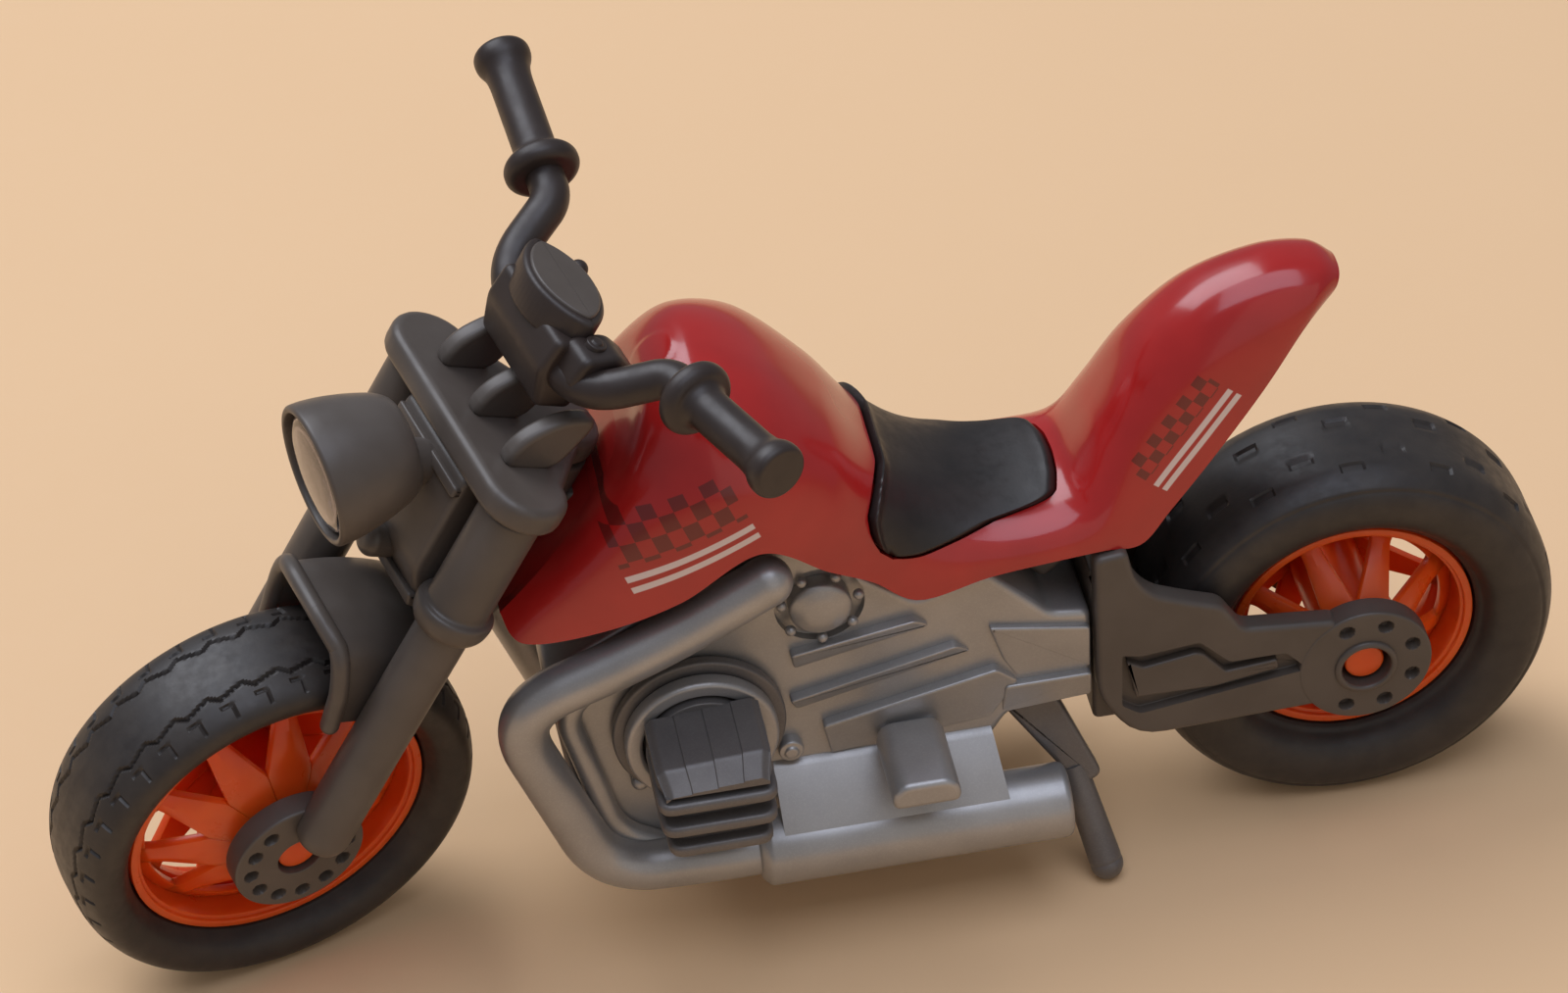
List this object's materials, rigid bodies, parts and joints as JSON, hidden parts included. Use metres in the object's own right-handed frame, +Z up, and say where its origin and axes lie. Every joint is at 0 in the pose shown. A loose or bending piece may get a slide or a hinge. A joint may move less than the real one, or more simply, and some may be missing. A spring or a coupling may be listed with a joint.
{
  "type": "toy motorcycle",
  "caption": "Push-along toy cruiser motorcycle for play figures, with a turning fork, free-rolling wheels and a folding side stand.",
  "frame": {"origin": "on the ground under the middle of the parked bike's outline", "axes": "+X towards the front wheel, +Y towards the rider's left, +Z up"},
  "size_m": [0.1519, 0.0584, 0.0854],
  "materials": {
    "red_body": "moulded gloss with a painted print",
    "black_seat": "satin moulded",
    "dark_frame": "satin moulded",
    "brown_bar": "satin moulded",
    "silver_engine": "silver pigmented",
    "grey_cylinders": "satin moulded",
    "orange_rims": "satin moulded",
    "tyre": "moulded soft vinyl",
    "reflector": "vacuum metallised",
    "lens": "clear moulded"
  },
  "bodies": {
    "chassis": {"body_shell": "red_body", "clutch_cover_left": "silver_engine", "clutch_cover_right": "silver_engine", "cylinder_collar_left": "silver_engine", "cylinder_collar_right": "silver_engine", "cylinder_flange_left": "grey_cylinders", "cylinder_flange_right": "grey_cylinders", "cylinder_head_left": "grey_cylinders", "cylinder_head_right": "grey_cylinders", "engine_half_left": "silver_engine", "engine_half_right": "silver_engine", "footpeg_left": "silver_engine", "footpeg_right": "silver_engine", "header_pipe_left": "silver_engine", "header_pipe_right": "silver_engine", "rear_subframe": "dark_frame", "seat": "black_seat", "silencer_left": "silver_engine", "silencer_right": "silver_engine", "steering_head": "dark_frame", "swing_arm_left": "dark_frame", "swing_arm_right": "dark_frame", "swing_bridge": "dark_frame"},
    "steering": {"fork_bridge": "dark_frame", "fork_crown": "dark_frame", "fork_leg_left": "dark_frame", "fork_leg_right": "dark_frame", "fork_sleeve_left": "dark_frame", "fork_sleeve_right": "dark_frame", "front_fender": "dark_frame", "headlight_nacelle": "dark_frame", "headlight_shell": "dark_frame", "headlight_reflector": "reflector", "headlight_lens": "lens", "handlebar": "brown_bar", "grip_left": "brown_bar", "grip_right": "brown_bar", "instrument_pod": "brown_bar", "instrument_face": "dark_frame"},
    "front_wheel": {"front_rim": "orange_rims", "front_tyre": "tyre"},
    "rear_wheel": {"rear_rim": "orange_rims", "rear_tyre": "tyre"},
    "side_stand": {"kickstand": "grey_cylinders"}
  },
  "joints": [
    {"name": "steering_turn", "type": "hinge", "parent": "chassis", "child": "steering", "pos_m": [0.04719, 0, 0.01683], "axis": [-0.515, 0, 0.8572], "range_deg": [-48.5, 9.5]},
    {"name": "front_wheel_spin", "type": "hinge", "parent": "steering", "child": "front_wheel", "pos_m": [0.05478, 0.00314, 0.02139], "axis": [-0.2861, 0.9426, -0.1719], "continuous": true},
    {"name": "rear_wheel_spin", "type": "hinge", "parent": "chassis", "child": "rear_wheel", "pos_m": [-0.05503, 0, 0.021], "axis": [0, 1, 0], "continuous": true},
    {"name": "side_stand_fold", "type": "hinge", "parent": "chassis", "child": "side_stand", "pos_m": [-0.02153, 0.0066, 0.01899], "axis": [0, 1, 0], "range_deg": [0, 16]}
  ]
}
